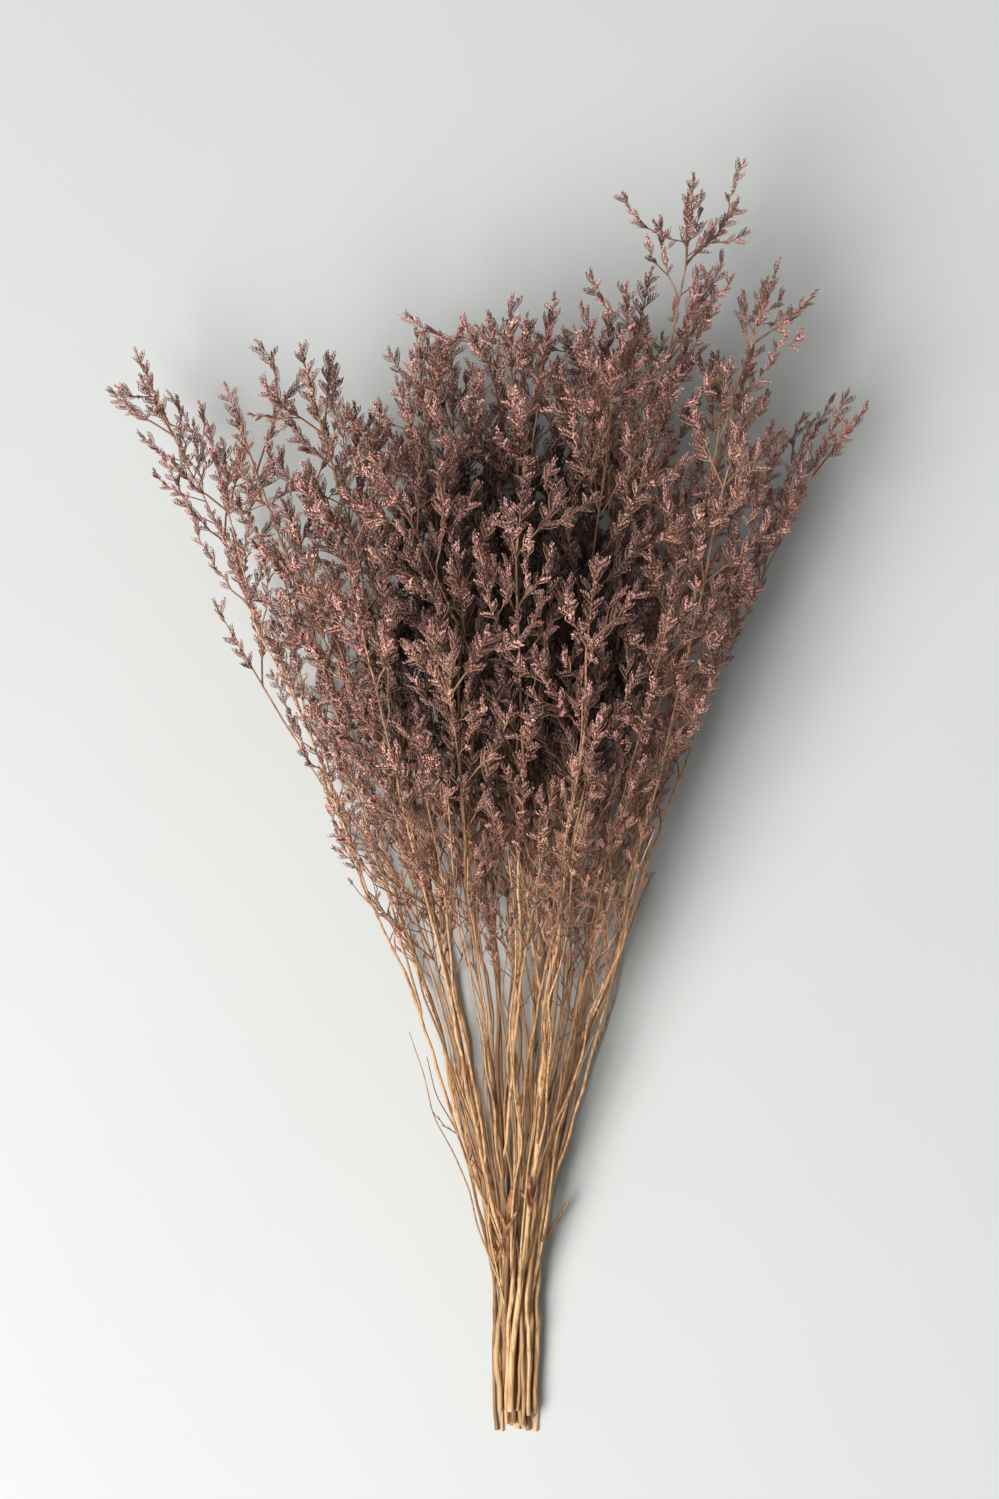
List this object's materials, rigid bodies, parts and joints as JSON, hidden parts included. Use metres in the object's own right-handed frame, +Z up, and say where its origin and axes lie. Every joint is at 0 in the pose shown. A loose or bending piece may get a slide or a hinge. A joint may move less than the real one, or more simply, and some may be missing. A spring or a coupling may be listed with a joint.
{
  "type": "dried statice bunch",
  "caption": "Loose bunch of dried statice lying on its side: tan woody stems gathered at the cut ends, fanning into branching mauve-brown flower heads.",
  "frame": {"origin": "on the surface the bunch lies on, under the middle of its outline", "axes": "+X across the bunch, +Y from the cut ends to the flowering tips, +Z up from the surface"},
  "size_m": [0.419, 0.7013, 0.1809],
  "materials": {
    "woody_stem": "matte",
    "flower_head": "matte",
    "dry_leaf": "matte"
  },
  "bodies": {
    "root": {"stem_01": "woody_stem", "stem_02": "woody_stem", "stem_03": "woody_stem", "stem_04": "woody_stem", "stem_05": "woody_stem", "stem_06": "woody_stem", "stem_07": "woody_stem", "stem_08": "woody_stem", "stem_09": "woody_stem", "stem_10": "woody_stem", "stem_11": "woody_stem", "stem_12": "woody_stem", "stem_13": "woody_stem", "stem_14": "woody_stem", "stem_15": "woody_stem", "stem_16": "woody_stem", "stem_17": "woody_stem", "stem_18": "woody_stem", "stem_19": "woody_stem", "stem_20": "woody_stem", "stem_21": "woody_stem", "head_01": "flower_head", "head_02": "flower_head", "head_03": "flower_head", "head_04": "flower_head", "head_05": "flower_head", "head_06": "flower_head", "head_07": "flower_head", "head_08": "flower_head", "head_09": "flower_head", "head_10": "flower_head", "head_11": "flower_head", "head_12": "flower_head", "head_13": "flower_head", "head_14": "flower_head", "head_15": "flower_head", "head_16": "flower_head", "head_17": "flower_head", "head_18": "flower_head", "head_19": "flower_head", "head_20": "flower_head", "head_21": "flower_head", "head_22": "flower_head", "head_23": "flower_head", "head_24": "flower_head", "head_25": "flower_head", "head_26": "flower_head", "head_27": "flower_head", "head_28": "flower_head", "head_29": "flower_head", "head_30": "flower_head", "head_31": "flower_head", "head_32": "flower_head", "head_33": "flower_head", "head_34": "flower_head", "dry_leaf_01": "dry_leaf", "dry_leaf_02": "dry_leaf", "dry_leaf_03": "dry_leaf"}
  },
  "joints": []
}
